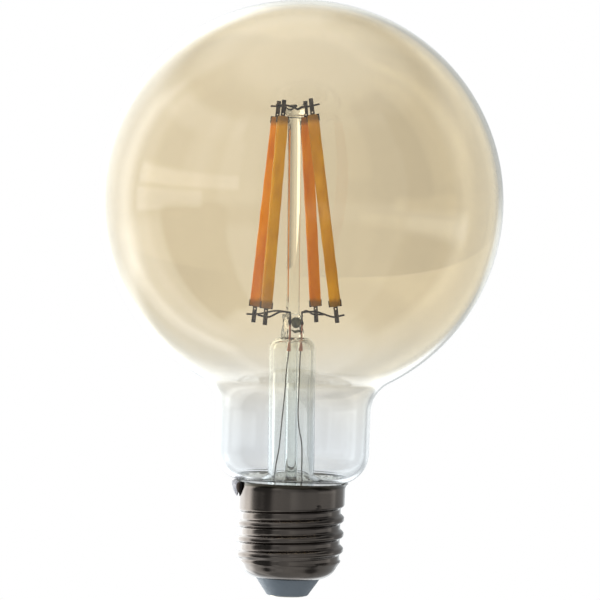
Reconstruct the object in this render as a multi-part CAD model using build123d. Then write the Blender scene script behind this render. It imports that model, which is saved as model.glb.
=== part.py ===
from build123d import *
import math
import os

# LED filament globe lamp with a 27 mm screw cap. Millimetres, +Z along the lamp axis.
# The origin is the middle of the centre contact's outer face, and the globe is at the top.

# Glass globe and neck
globe_diameter = 95.0
globe_centre_z = 92.9
neck_diameter = 36.2
neck_blend_radius = 8.0
shoulder_angle = 72.0
tail_clearance = 1.05
glass_wall = 1.0

# Screw cap, rolled from sheet
cap_diameter = 25.6
cap_wall = 0.35
rim_z = 27.0
rim_flare = 0.7
rim_height = 1.0
shoulder_gap = 0.14
shoulder_stand = 0.15
bowl_edge_diameter = 15.6
bowl_edge_z = 4.3
bowl_height = 2.9
bowl_inset = 1.4
bowl_bulge = (0.42, 0.5)
entry_height = 2.1

# Rolled thread: one helical groove with chamfered flanks, right-handed
thread_pitch = 3.629
thread_depth = 0.85
groove_mouth = 3.2
groove_floor = 0.9
groove_overcut = 0.1
crest_chamfer_width = 0.45
crest_chamfer_depth = 0.25
groove_start_z = 5.25
groove_turns = 4.4
groove_phase = 76.0

# Insulator and contact at the tip
insulator_top_diameter = 15.1
insulator_tip_diameter = 10.0
insulator_flange = 2.6
insulator_bore = 2.2
tip_relief = 0.15
tip_round = 0.5
contact_diameter = 8.2
contact_thickness = 0.7
pin_diameter = 1.6
pin_stand = 2.2

# Glass mount: the flare, the pinch that holds the leads, the rod and its head
stem_lean = 1.45
stem_turn = 30.0
seal_z = 22.5
tail_end_z = 21.6
seal_clearance = 0.05
seal_land = 0.8
flare_diameter = 10.96
flare_spread_z = 28.0
flare_top_z = 61.1
flare_top_round = 3.1
pinch_width = 4.2
pinch_top_z = 66.5
pinch_round = 0.6
exhaust_diameter = 3.15
exhaust_bore = 1.9
exhaust_tip_z = 16.2
vent_diameter = 2.7
vent_z = 64.5
rod_diameter = 3.13
rod_top_z = 113.1
head_diameter = 4.95
head_height = 2.8
head_round = 0.7

# Filaments: four coated strips in a leaning square layout
strip_bottom_radius = 10.95
strip_top_radius = 5.15
strip_bottom_z = 68.2
strip_top_z = 112.6
strip_width = 2.65
strip_thickness = 1.5
strip_round = 0.55
carrier_width = 1.1
carrier_thickness = 0.4
tab_width = 1.0
tab_thickness = 0.3
tab_length = 4.1
tab_hole = 0.4
tab_hole_offset = 0.5
clip_length = 0.3
claw_thickness = 0.2
claw_length = 1.3
fit_gap = 0.02

# Wires
support_wire_diameter = 0.4
lead_wire_diameter = 0.42
supply_wire_diameter = 0.5
lower_cross_z = 66.1
upper_cross_z = 115.4
wire_overhang = 1.3
lead_depth = 1.6
lead_spacing = 3.2
knot_z = 57.8
joint_gap = 0.05
wire_bed = 0.6
wire_run_past = 0.5
lead_tip = 0.17
lead_joint_shift = (-0.2, 0.05)

# Driver board in the cap and what it carries
board_clearance = 0.2
board_thickness = 1.0
board_z = 14.0
rectifier_size = (4.7, 3.9, 1.6)
rectifier_place = (4.6, 4.9)
chip_size = (5.0, 3.9, 1.5)
chip_place = (-4.6, 4.9)
capacitor_diameter = 6.3
capacitor_height = 5.9
capacitor_place = (4.3, 0.5)
inductor_diameter = 5.0
inductor_height = 5.2
inductor_flange = 0.9
inductor_waist = 4.3
inductor_place = (-4.6, -2.6)
resistor_diameter = 2.2
resistor_length = 6.4
resistor_place = (0.5, -7.0)
board_notch = (0.8, 1.2)

# Cement and side solder
cement_height = 1.2
cement_gap = 0.05
solder_width = 2.6
solder_height = 3.9
solder_stand = 0.95
solder_bed = 0.1
solder_crown = 0.25
solder_point_width = 0.6
notch_width = 0.8
notch_depth = 1.7

WIRE_SIDES = 10

# Each filament's bearings about the axis at its lower and upper end, the bearing of its
# broad face's width, and how far it sits above the common height
FILAMENTS = {
    "back_left": (144.5, 144.5, -14.0, 0.0),
    "front_left": (236.0, 236.7, 20.0, 0.0),
    "back_right": (60.5, 59.0, 20.0, 0.1),
    "front_right": (-24.4, -35.2, -14.0, 0.5),
}

globe_radius = globe_diameter / 2
neck_radius = neck_diameter / 2
cap_radius = cap_diameter / 2
# The glass tail stands in the cap, with the cement round it
tail_radius = cap_radius - cap_wall - tail_clearance
bowl_top_radius = cap_radius - bowl_inset
# The glass shoulder ends just inside the flared rim and just above it
shoulder_end_radius = cap_radius - cap_wall + rim_flare - shoulder_gap
shoulder_radius = (neck_radius - shoulder_end_radius) / (1 - math.cos(math.radians(shoulder_angle)))
shoulder_z = rim_z + shoulder_stand + shoulder_radius * math.sin(math.radians(shoulder_angle))
# The board fits inside the rolled thread
board_diameter = 2 * (cap_radius - cap_wall - thread_depth - board_clearance)
board_top_z = board_z + board_thickness
lean = Pos(0, 0, seal_z) * Rot(0, -stem_lean, 0) * Pos(0, 0, -seal_z)


def turned(*points):
    """Solid of revolution about Z from a closed outline of (radius, height) points."""
    return revolve(Plane.XZ * make_face(Polyline(*points, close=True)), Axis.Z)


def rod(diameter, bottom, top, x=0.0, y=0.0):
    """Upright cylinder between two heights."""
    standing = (Align.CENTER, Align.CENTER, Align.MIN)
    return Pos(x, y, bottom) * Cylinder(diameter / 2, top - bottom, align=standing)


def wire(points, diameter):
    """Wire along straight runs that meet at mitred bends."""
    path = Polyline(*points)
    section = Plane(path @ 0, z_dir=path % 0) * RegularPolygon(diameter / 2, WIRE_SIDES)
    return sweep(section, path=path, transition=Transition.RIGHT)


def polar(radius, angle, z):
    """Point at a radius and an angle in degrees about Z."""
    return Vector(radius * math.cos(math.radians(angle)), radius * math.sin(math.radians(angle)), z)


# Globe

def glass_section(inset, end_z):
    """Half section of the blown glass, filled to the axis, moved inward by inset."""
    blend_x = neck_radius + neck_blend_radius
    blend_z = globe_centre_z - math.sqrt((globe_radius + neck_blend_radius) ** 2 - blend_x ** 2)
    blend_angle = math.degrees(math.atan2(blend_z - globe_centre_z, blend_x))
    globe = CenterArc((0, globe_centre_z), globe_radius - inset, 90, blend_angle - 90)
    blend = CenterArc((blend_x, blend_z), neck_blend_radius + inset, blend_angle + 180, -blend_angle)
    centre = (neck_radius - shoulder_radius, shoulder_z)
    shoulder = CenterArc(centre, shoulder_radius - inset, 0, -shoulder_angle)
    drop = (shoulder @ 1).X - (tail_radius - inset)
    tail = (tail_radius - inset, (shoulder @ 1).Y - drop)
    end = (tail_radius - inset, end_z)
    outline = [
        globe,
        blend,
        Line(blend @ 1, shoulder @ 0),
        shoulder,
        Line(shoulder @ 1, tail),
        Line(tail, end),
        Line(end, (0, end_z)),
        Line((0, end_z), globe @ 0),
    ]
    return Plane.XZ * make_face(outline)


def make_globe():
    """Blown glass globe with its neck and the narrow tail that sits in the cap."""
    outside = revolve(glass_section(0, tail_end_z), Axis.Z)
    inside = revolve(glass_section(glass_wall, tail_end_z - 1), Axis.Z)
    return outside - inside


# Screw cap

def groove(inset):
    """Helical groove of the rolled thread; the sheet's inner face has no chamfer at the crest."""
    surface = cap_radius - inset
    foot = groove_floor / 2 + inset * 0.6
    mouth = groove_mouth / 2
    half = [(surface - thread_depth, foot)]
    if inset:
        slope = (mouth - foot) / thread_depth
    else:
        slope = crest_chamfer_width / crest_chamfer_depth
        half.append((surface - crest_chamfer_depth, mouth - crest_chamfer_width))
    reach = min(mouth + slope * groove_overcut, 0.495 * thread_pitch)
    half += [(surface + (reach - mouth) / slope, reach), (surface + 1.0, reach)]
    outline = half + [(radius, -height) for radius, height in reversed(half)]
    profile = Plane.XZ * make_face(Polyline(*outline, close=True))
    path = Helix(thread_pitch, groove_turns * thread_pitch, cap_radius)
    cutter = sweep(profile, path=path, is_frenet=True)
    start_angle = groove_phase - 360 * groove_turns
    return Pos(0, 0, groove_start_z) * Rot(0, 0, start_angle) * cutter


def cap_form(inset, overrun=0.0):
    """Filled form of the cap with the thread rolled in, moved inward by inset and run past its ends."""
    top = rim_z + overrun
    lip_slope = rim_flare / rim_height
    bowl_top = bowl_edge_z + bowl_height
    bowl_corner = (bowl_top_radius - inset, bowl_top + 0.45 * inset)
    bowl_end = (bowl_edge_diameter / 2 - inset * 0.5, bowl_edge_z + inset)
    bowl = ThreePointArc(
        bowl_end,
        (
            (bowl_corner[0] + bowl_end[0]) / 2 + bowl_bulge[0],
            (bowl_corner[1] + bowl_end[1]) / 2 - bowl_bulge[1],
        ),
        bowl_corner,
    )
    wall = Polyline(
        bowl_corner,
        (cap_radius - inset, bowl_top + entry_height + 0.2 * inset),
        (cap_radius - inset, rim_z - rim_height),
        (cap_radius - inset + lip_slope * (top - rim_z + rim_height), top),
        (0, top),
        (0, bowl_end[1]),
        bowl_end,
    )
    section = Plane.XZ * make_face([bowl] + wall.edges())
    form = revolve(section, Axis.Z) - groove(inset)
    return form + rod(2 * bowl_end[0], bowl_end[1] - overrun, bowl_end[1] + 1) if overrun else form


def make_screw_shell():
    """Sheet-metal screw shell: flared rim, skirt, rolled thread and bowl, with the wire notch."""
    notch = Pos(-cap_radius, 0, rim_z) * Box(4, notch_width, 2 * notch_depth)
    return cap_form(0) - cap_form(cap_wall, 1.0) - notch


def make_insulator():
    """Moulded insulator: a cone below the cap and a flange that beds in the bowl."""
    neck = bowl_edge_diameter / 2 - cap_wall * 0.5 - fit_gap
    flange_z = bowl_edge_z + cap_wall + fit_gap
    top = flange_z + insulator_flange
    slope = (bowl_top_radius - bowl_edge_diameter / 2) / bowl_height
    spread = neck + slope * 0.86 * insulator_flange
    body = turned(
        (0, tip_relief),
        (insulator_tip_diameter / 2, tip_relief),
        (insulator_top_diameter / 2, bowl_edge_z - fit_gap),
        (neck, bowl_edge_z - fit_gap),
        (neck, flange_z),
        (spread, top),
        (0, top),
    )
    edge = body.edges().filter_by(GeomType.CIRCLE).sort_by(Axis.Z)[0]
    body = chamfer(edge, tip_round)
    return body - rod(contact_diameter + 2 * fit_gap, -1, contact_thickness) - rod(insulator_bore, 0, top + 1)


def make_centre_contact():
    """Flat contact disc, flush at the origin, with a blind bore for its pin."""
    disc = rod(contact_diameter, 0, contact_thickness)
    return disc - rod(pin_diameter, contact_thickness / 2, contact_thickness + 1)


def make_contact_pin():
    """Drive pin that holds the live wire in the disc."""
    return rod(pin_diameter, contact_thickness / 2, contact_thickness + pin_stand) - live_wire_solid()


# Glass mount

def make_flare(leads):
    """Flare tube and pinch: the tube spreads to the seal, and its top is pressed round the leads."""
    outer = flare_diameter / 2
    inner = outer - glass_wall
    rim = tail_radius - glass_wall - seal_clearance
    low, high = seal_z - seal_land / 2, seal_z + seal_land / 2
    spread = Line((outer, flare_spread_z), (rim, high))
    under = Line((rim - glass_wall, low), (inner, flare_spread_z - glass_wall / 2))
    top = CenterArc((outer - flare_top_round, flare_top_z - flare_top_round), flare_top_round, 0, 90)
    roof = Line((inner, flare_top_z - flare_top_round), (outer - flare_top_round, flare_top_z - glass_wall))
    outline = [
        spread,
        Line(spread @ 1, (rim, low)),
        Line((rim, low), under @ 0),
        under,
        Line(under @ 1, roof @ 0),
        roof,
        Line(roof @ 1, (0, flare_top_z - glass_wall)),
        Line((0, flare_top_z - glass_wall), (0, flare_top_z)),
        Line((0, flare_top_z), top @ 1),
        top,
        Line(top @ 0, spread @ 0),
    ]
    tube = revolve(Plane.XZ * make_face(outline), Axis.Z)
    low_z = flare_top_z - glass_wall / 2
    block = extrude(RectangleRounded(pinch_width, pinch_width, pinch_round), pinch_top_z - low_z)
    pinch = Rot(0, 0, stem_turn) * Pos(0, 0, low_z) * block
    vent = Pos(0, 0, vent_z) * Rot(0, 0, stem_turn) * Rot(90, 0, 0) * Cylinder(
        vent_diameter / 2, pinch_width, align=(Align.CENTER, Align.CENTER, Align.MIN)
    )
    flare = tube + pinch - vent - rod(exhaust_bore, flare_top_z - 2, vent_z)
    for lead in leads:
        flare -= lead
    return flare


def make_exhaust_tube():
    """Pumping tube under the pinch, melted shut in the cap."""
    top = flare_top_z - glass_wall
    outside = rod(exhaust_diameter, exhaust_tip_z, top)
    outside = chamfer(outside.edges().sort_by(Axis.Z)[0], exhaust_diameter / 3)
    return outside - rod(exhaust_bore, exhaust_tip_z + 1.5, top + 1)


def make_support_rod(wires):
    """Glass rod on the pinch, with the flattened head that grips the upper wires."""
    head = rod(head_diameter, rod_top_z, rod_top_z + head_height)
    head = chamfer(head.edges().filter_by(GeomType.CIRCLE), head_round)
    body = rod(rod_diameter, pinch_top_z, rod_top_z + head_height / 2) + head
    for support in wires:
        body -= support
    return body


# Filaments

def filament_frame(name):
    """Plane at a strip's lower end: X across its broad face, Z along the strip."""
    low_angle, high_angle, face, lift = FILAMENTS[name]
    low = polar(strip_bottom_radius, low_angle, strip_bottom_z + lift)
    high = polar(strip_top_radius, high_angle, strip_top_z + lift)
    return Plane(low, x_dir=polar(1, face, 0), z_dir=high - low)


strip_length = math.hypot(strip_bottom_radius - strip_top_radius, strip_top_z - strip_bottom_z)


def make_strip():
    """Coated light strip with the slot for its carrier."""
    bar = extrude(RectangleRounded(strip_width, strip_thickness, strip_round), strip_length)
    slot = Pos(0, 0, strip_length / 2) * Box(
        carrier_width + 2 * fit_gap, carrier_thickness + 2 * fit_gap, strip_length + 2
    )
    return bar - slot


def make_carrier():
    """Thin strip inside the coat that carries the diodes."""
    return Pos(0, 0, strip_length / 2) * Box(carrier_width, carrier_thickness, strip_length)


def make_tab():
    """Stamped end tab: a clip with two claws round the strip's end, a tongue and a small hole."""
    reach = strip_width / 2 + fit_gap
    clip_width = 2 * (reach + claw_thickness)
    clip = Box(clip_width, tab_thickness, clip_length, align=(Align.CENTER, Align.CENTER, Align.MAX))
    claw = Box(claw_thickness, tab_thickness, claw_length, align=(Align.MIN, Align.CENTER, Align.MIN))
    clip += Pos(reach, 0, 0) * claw + Pos(-reach - claw_thickness, 0, 0) * claw
    tongue = Box(tab_width, tab_thickness, tab_length, align=(Align.CENTER, Align.CENTER, Align.MAX))
    bore = extrude(RegularPolygon(tab_hole / 2, WIRE_SIDES), tab_thickness, both=True)
    hole = Pos(0, 0, -clip_length - tab_hole_offset) * Rot(90, 0, 0) * bore
    return clip + tongue - hole


def tab_crossing(name, z, overhang):
    """Points where a support wire lies flat against a tab, from its free end inward."""
    frame = filament_frame(name)
    along = (z - frame.origin.Z) / frame.z_dir.Z
    centre = frame.origin + frame.z_dir * along
    outward = Vector(centre.X, centre.Y, 0)
    side = frame.x_dir if frame.x_dir.dot(outward) > 0 else frame.x_dir * -1
    stand = (tab_thickness + support_wire_diameter) / 2 + fit_gap
    inward = frame.y_dir if frame.y_dir.dot(outward) < 0 else frame.y_dir * -1
    middle = centre + inward * stand
    return [middle + side * (tab_width / 2 + overhang), middle - side * (tab_width / 2 + wire_run_past)]


# Wires of the mount

def lead_place(side, z):
    """Where a lead stands in the pinch: side is -1 for the left lead and +1 for the right."""
    return Vector(side * lead_spacing / 2, -lead_depth, z).rotate(Axis.Z, stem_turn)


def make_lower_wire(side, first, second):
    """Bent wire over one lead, with an arm to each of its two lower tabs."""
    start = tab_crossing(first, lower_cross_z, wire_overhang)
    finish = tab_crossing(second, lower_cross_z, wire_overhang)
    apex = lead_place(side, pinch_top_z + support_wire_diameter / 2 + lead_tip + fit_gap)
    return wire([*start, apex, *reversed(finish)], support_wire_diameter)


def make_upper_wire(front, first, second):
    """Bent wire through the rod's head, with an arm to each of two upper tabs."""
    start = tab_crossing(first, upper_cross_z, wire_overhang)
    finish = tab_crossing(second, upper_cross_z, wire_overhang)
    offset = head_diameter / 5
    apex = polar(offset, stem_turn + (-90 if front else 90), rod_top_z + 0.6 * head_height)
    return wire([*start, apex, *reversed(finish)], support_wire_diameter)


def make_inner_lead(side):
    """Lead wire through the pinch, from the support wire down to its joint in the flare."""
    top = lead_place(side, pinch_top_z + lead_tip)
    bottom = lead_place(side, flare_top_z - 1.4 * glass_wall)
    joint = bottom + Vector(*lead_joint_shift, 0)
    joint.Z = knot_z
    return wire([top, bottom, joint], lead_wire_diameter)


LEFT_ROUTE = [(-1.3, -2.1, 53.1), (-2.3, -2.0, 39.7), (-3.4, -1.5, 30.0), (-5.4, -1.6, 15.4)]
RIGHT_ROUTE = [(1.75, -1.2, 52.4), (1.5, -1.6, 43.1), (2.5, -1.4, 35.0), (2.4, -1.6, 26.3), (3.4, -2.2, 15.2)]


def make_outer_lead(side, route):
    """Thin wire from the inner lead's joint down the flare to the driver board."""
    start = make_inner_lead(side).faces().sort_by(Axis.Z)[0].center() - Vector(0, 0, joint_gap)
    return wire([start, *[Vector(*point) for point in route]], support_wire_diameter)


# Driver

def make_driver_board():
    """Round board with a notch that lets the neutral wire pass."""
    depth, width = board_notch
    notch = Pos(-board_diameter / 2, 0, board_z) * Box(2 * depth, width, 4 * board_thickness)
    return rod(board_diameter, board_z, board_top_z) - notch


def on_board(place, size):
    """Flat package that sits on top of the board."""
    return Pos(*place, board_top_z) * Box(*size, align=(Align.CENTER, Align.CENTER, Align.MIN))


def make_capacitor():
    """Electrolytic can that hangs below the board."""
    return rod(capacitor_diameter, board_z - capacitor_height, board_z, *capacitor_place)


def make_inductor():
    """Drum core choke below the board."""
    low = board_z - inductor_height
    drum = rod(inductor_diameter, low, board_z, *inductor_place)
    waist = rod(2 * inductor_diameter, low + inductor_flange, board_z - inductor_flange, *inductor_place)
    return drum - (waist - rod(inductor_waist, low, board_z, *inductor_place))


def make_resistor():
    """Fusible resistor that lies on the board."""
    body = Rot(0, 90, 0) * Cylinder(resistor_diameter / 2, resistor_length)
    return Pos(*resistor_place, board_top_z + resistor_diameter / 2) * body


LIVE_ROUTE = [(0.0, 0.0, 8.6), (-0.6, 3.4, 11.4)]


def live_wire_solid():
    """Wire from the centre pin up to the board."""
    x, y, _ = LIVE_ROUTE[-1]
    return wire([(0, 0, contact_thickness + wire_bed), *LIVE_ROUTE, (x, y, board_z)], supply_wire_diameter)


def make_neutral_wire():
    """Wire from the board up behind the cement and out over the rim at the notch."""
    low_r = board_diameter / 2 - 0.45
    high_r = cap_radius - cap_wall - supply_wire_diameter / 2 - 0.1
    over_z = rim_z - notch_depth + supply_wire_diameter / 2 + 0.05
    points = [
        (-low_r, 0, board_z),
        (-low_r, 0, tail_end_z - 1.4),
        (-high_r, 0, tail_end_z + 0.2),
        (-high_r, 0, over_z),
        (-cap_radius - rim_flare - 0.2, 0, over_z),
    ]
    return wire(points, supply_wire_diameter)


# Cement and solder

def make_cement_ring():
    """Cement between the glass tail and the cap, with a slot for the neutral wire."""
    low = seal_z + seal_land
    ring = rod(2 * (cap_radius - cap_wall - cement_gap), low, low + cement_height)
    ring -= rod(2 * (tail_radius + cement_gap), low - 1, low + 3)
    slot = Pos(-cap_radius, 0, low) * Box(4, supply_wire_diameter + 0.1, 2 * cement_height + 1)
    return ring - slot


def make_side_solder():
    """Solder drop on the rim that fixes the neutral wire, tapering down the skirt."""
    outer = cap_radius + rim_flare
    point = solder_point_width / 2
    side = make_face(
        Polyline(
            (cap_radius - solder_bed, rim_z - solder_height),
            (outer + 0.45 * solder_stand, rim_z - 0.5 * solder_height),
            (outer + solder_stand, rim_z - 0.15 * solder_height),
            (outer + 0.5 * solder_stand, rim_z + solder_crown),
            (cap_radius - solder_bed, rim_z - solder_bed / 2),
            close=True,
        )
    )
    slab = Plane.XZ * extrude(side, solder_width / 2, both=True)
    front = make_face(
        Polyline(
            (-point, rim_z - solder_height - solder_bed),
            (point, rim_z - solder_height - solder_bed),
            (solder_width / 2, rim_z - 2 * solder_crown),
            (solder_width / 2 - point, rim_z + 2 * solder_crown),
            (-solder_width / 2 + point, rim_z + 2 * solder_crown),
            (-solder_width / 2, rim_z - 2 * solder_crown),
            close=True,
        )
    )
    drop = slab & (Plane.YZ * extrude(front, 30))
    drop = Rot(0, 0, 180) * drop
    return drop - cap_form(0) - make_neutral_wire()


# Assembly

def build_parts():
    """All nodes by name, placed in the lamp's frame."""
    parts = {
        "glass_globe": make_globe(),
        "screw_shell": make_screw_shell(),
        "base_insulator": make_insulator(),
        "centre_contact": make_centre_contact(),
        "contact_pin": make_contact_pin(),
        "cement_ring": make_cement_ring(),
        "side_solder": make_side_solder(),
        "driver_board": make_driver_board(),
        "bridge_rectifier": on_board(rectifier_place, rectifier_size),
        "driver_chip": on_board(chip_place, chip_size),
        "smoothing_capacitor": make_capacitor(),
        "filter_inductor": make_inductor(),
        "fusible_resistor": make_resistor(),
        "live_wire": live_wire_solid(),
        "neutral_wire": make_neutral_wire(),
    }
    inner_leads = {"left": make_inner_lead(-1), "right": make_inner_lead(1)}
    upper_wires = {
        "front": make_upper_wire(True, "front_left", "front_right"),
        "back": make_upper_wire(False, "back_left", "back_right"),
    }
    mount = {
        "flare_tube": make_flare(inner_leads.values()),
        "exhaust_tube": make_exhaust_tube(),
        "support_rod": make_support_rod(upper_wires.values()),
        "left_lower_wire": make_lower_wire(-1, "back_left", "front_left"),
        "right_lower_wire": make_lower_wire(1, "back_right", "front_right"),
        "left_outer_lead": make_outer_lead(-1, LEFT_ROUTE),
        "right_outer_lead": make_outer_lead(1, RIGHT_ROUTE),
    }
    for side, lead in inner_leads.items():
        mount[f"{side}_inner_lead"] = lead
    for side, support in upper_wires.items():
        mount[f"{side}_upper_wire"] = support
    top_end = Pos(0, 0, strip_length) * Rot(180, 0, 0)
    for name in FILAMENTS:
        place = filament_frame(name).location
        mount[f"{name}_filament"] = place * make_strip()
        mount[f"{name}_carrier"] = place * make_carrier()
        mount[f"{name}_lower_tab"] = place * make_tab()
        mount[f"{name}_upper_tab"] = place * top_end * make_tab()
    for name, shape in mount.items():
        parts[name] = lean * shape
    return parts


def main():
    """Write one STEP file for each node."""
    os.makedirs("parts", exist_ok=True)
    for name, shape in build_parts().items():
        export_step(shape, f"parts/{name}.step")


if __name__ == "__main__":
    main()
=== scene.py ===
"""Looks of a filament globe lamp: tinted glass, light strips on a glass mount, dark screw cap."""

import logging
import math
from collections.abc import Callable, Iterator
from dataclasses import dataclass, field
from enum import Enum
from functools import cached_property

import bpy
from mathutils import Matrix, Vector


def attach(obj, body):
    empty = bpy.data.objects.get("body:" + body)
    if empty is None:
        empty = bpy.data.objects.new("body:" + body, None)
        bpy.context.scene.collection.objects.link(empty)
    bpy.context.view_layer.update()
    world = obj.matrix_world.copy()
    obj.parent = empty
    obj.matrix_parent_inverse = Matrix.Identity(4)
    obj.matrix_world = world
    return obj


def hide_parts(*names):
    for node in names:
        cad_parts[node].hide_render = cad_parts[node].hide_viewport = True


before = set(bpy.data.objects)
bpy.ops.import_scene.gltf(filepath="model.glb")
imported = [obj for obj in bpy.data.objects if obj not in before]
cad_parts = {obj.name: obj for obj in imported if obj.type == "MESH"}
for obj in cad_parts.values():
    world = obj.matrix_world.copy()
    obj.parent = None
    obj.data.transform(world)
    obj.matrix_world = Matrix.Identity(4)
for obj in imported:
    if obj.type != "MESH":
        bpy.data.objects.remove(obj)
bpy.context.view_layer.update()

MM = 0.001
log = logging.getLogger("lamp")

Piece = bpy.types.Object
Point = tuple[float, float, float]
Pair = tuple[float, float]
Profile = list[Pair]
Colour = tuple[float, float, float]


# Shader helpers

def operator_method(kind: str, reflected: bool = False) -> Callable[["Socket", "Socket | float"], "Socket"]:
    """Make an operator of Socket.

    Args:
        kind: Operation of the Math node that the operator adds.
        reflected: Whether the socket stands behind the operator.

    Returns:
        The operator's method.
    """
    def method(self: "Socket", other: "Socket | float") -> "Socket":
        """Add the node and wrap its result."""
        operands = (other, self) if reflected else (self, other)
        return self.graph.math(kind, *operands)

    return method


class Socket:
    """A shader output that takes part in Python arithmetic."""

    def __init__(self, graph: "Graph", output: bpy.types.NodeSocket) -> None:
        """Wrap one output of a node in a graph."""
        self.graph = graph
        self.output = output

    __add__ = operator_method("ADD")
    __radd__ = operator_method("ADD", reflected=True)
    __sub__ = operator_method("SUBTRACT")
    __rsub__ = operator_method("SUBTRACT", reflected=True)
    __mul__ = operator_method("MULTIPLY")
    __rmul__ = operator_method("MULTIPLY", reflected=True)
    __truediv__ = operator_method("DIVIDE")


Value = Socket | float | tuple
SMOOTH = {"interpolation_type": "SMOOTHSTEP"}


class Graph:
    """The nodes of one material or of the world."""

    def __init__(self, tree: bpy.types.NodeTree) -> None:
        """Empty the tree and keep it."""
        self.tree = tree
        tree.nodes.clear()

    def node(self, kind: str, settings: dict | None = None, inputs: dict | None = None) -> bpy.types.Node:
        """Add a node.

        Args:
            kind: The node's type.
            settings: Properties that are set before its sockets.
            inputs: Values or links of its sockets, by name or number.

        Returns:
            The new node.
        """
        node = self.tree.nodes.new(kind)
        for name, value in (settings or {}).items():
            setattr(node, name, value)
        for name, value in (inputs or {}).items():
            self.feed(node.inputs[name], value)
        return node

    def feed(self, target: bpy.types.NodeSocket, value: Value) -> None:
        """Link a socket to an input, or set the input's own value.

        Args:
            target: The input.
            value: A socket, a number, a vector or a colour.
        """
        if isinstance(value, Socket):
            self.tree.links.new(value.output, target)
        elif isinstance(value, tuple) and target.type == "RGBA":
            target.default_value = (*value, 1.0)
        else:
            target.default_value = value

    def out(self, node: bpy.types.Node, name: str | int = 0) -> Socket:
        """Wrap an output of a node."""
        return Socket(self, node.outputs[name])

    def math(self, operation: str, *values: Socket | float) -> Socket:
        """Result of a Math node over its operands, in order."""
        settings = {"operation": operation}
        return self.out(self.node("ShaderNodeMath", settings, dict(enumerate(values))))

    @cached_property
    def place(self) -> Socket:
        """Object coordinates, in metres."""
        return self.out(self.node("ShaderNodeTexCoord"), "Object")

    @cached_property
    def height(self) -> Socket:
        """Height above the lamp's contact, in metres."""
        return self.axis(self.place, "Z")

    def axis(self, vector: Socket, name: str) -> Socket:
        """One component of a vector."""
        return self.out(self.node("ShaderNodeSeparateXYZ", inputs={0: vector}), name)

    def noise(self, scale: float, detail: float = 3.0, stretch: Point | None = None) -> Socket:
        """Noise between 0 and 1 over a piece.

        Args:
            scale: The noise's scale.
            detail: Its detail.
            stretch: A factor for each coordinate, where it isn't even.

        Returns:
            The noise.
        """
        vector = self.place
        if stretch:
            vector = self.out(self.node("ShaderNodeMapping", inputs={"Vector": vector, "Scale": stretch}))
        inputs = {"Vector": vector, "Scale": scale, "Detail": detail}
        return self.out(self.node("ShaderNodeTexNoise", inputs=inputs), "Fac")

    def ragged_height(self, noise: Socket, spread: float) -> Socket:
        """Height that a noise moves up and down within a spread."""
        return self.height + noise * spread - spread / 2

    def step(self, value: Socket, low: float, high: float, start: float = 0.0, end: float = 1.0) -> Socket:
        """Smooth step from start to end while value goes from low to high."""
        limits = {"Value": value, "From Min": low, "From Max": high, "To Min": start, "To Max": end}
        return self.out(self.node("ShaderNodeMapRange", SMOOTH, limits), "Result")

    def blend(self, factor: Socket, first: Colour | Socket, second: Colour | Socket) -> Socket:
        """Colour between first and second by factor."""
        inputs = {0: factor, 6: first, 7: second}
        return self.out(self.node("ShaderNodeMix", {"data_type": "RGBA"}, inputs), 2)

    def bump(self, height: Socket, strength: float, distance: float) -> Socket:
        """Normal bent by a height."""
        inputs = {"Height": height, "Strength": strength, "Distance": distance}
        return self.out(self.node("ShaderNodeBump", inputs=inputs), "Normal")

    def surface(self, **sockets: Value) -> Socket:
        """Principled surface; a socket's name has underscores for its spaces."""
        inputs = {name.replace("_", " "): value for name, value in sockets.items()}
        return self.out(self.node("ShaderNodeBsdfPrincipled", inputs=inputs))

    def clear(self, colour: Value) -> Socket:
        """Transparent shader of a colour."""
        return self.out(self.node("ShaderNodeBsdfTransparent", inputs={"Color": colour}))

    def mixed(self, factor: Socket | float, first: Socket, second: Socket) -> Socket:
        """Mix of two shaders by factor."""
        return self.out(self.node("ShaderNodeMixShader", inputs={0: factor, 1: first, 2: second}))

    def ray(self, name: str) -> Socket:
        """One flag or count of the light path."""
        return self.out(self.node("ShaderNodeLightPath"), name)

    def some(self, name: str) -> Socket:
        """1 where a flag or count of the light path is above zero, else 0."""
        return self.math("GREATER_THAN", self.ray(name), 0.5)

    def none(self, name: str) -> Socket:
        """1 where a flag or count of the light path is zero, else 0."""
        return self.math("LESS_THAN", self.ray(name), 0.5)


# Finishes

class Finish:
    """A named finish with a node material."""

    name: str

    def shade(self, graph: Graph) -> Socket:
        """Build the surface of the finish.

        Args:
            graph: The material's nodes.

        Returns:
            The shader.
        """
        raise NotImplementedError

    def material(self) -> bpy.types.Material:
        """Make the finish's material when it is first asked for.

        Returns:
            The material.
        """
        found = bpy.data.materials.get(self.name)
        if found:
            return found
        material = bpy.data.materials.new(self.name)
        material.use_nodes = True
        graph = Graph(material.node_tree)
        graph.node("ShaderNodeOutputMaterial", inputs={"Surface": self.shade(graph)})
        return material


@dataclass(frozen=True)
class Glass(Finish):
    """Smooth glass that lets lamp light through to the pieces behind it."""

    ior: float = 1.5

    def transmitting(self, graph: Graph, colour: Value, **sockets: Value) -> Socket:
        """Glass for all that is seen, and plain coloured light in its shadow.

        Args:
            graph: The material's nodes.
            colour: The colour of the glass.
            sockets: More sockets of the surface.

        Returns:
            The shader.
        """
        glass = graph.surface(
            Base_Color=colour, Roughness=0.0, IOR=self.ior, Transmission_Weight=1.0, **sockets
        )
        return graph.mixed(graph.ray("Is Shadow Ray"), glass, graph.clear(colour))


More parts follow.
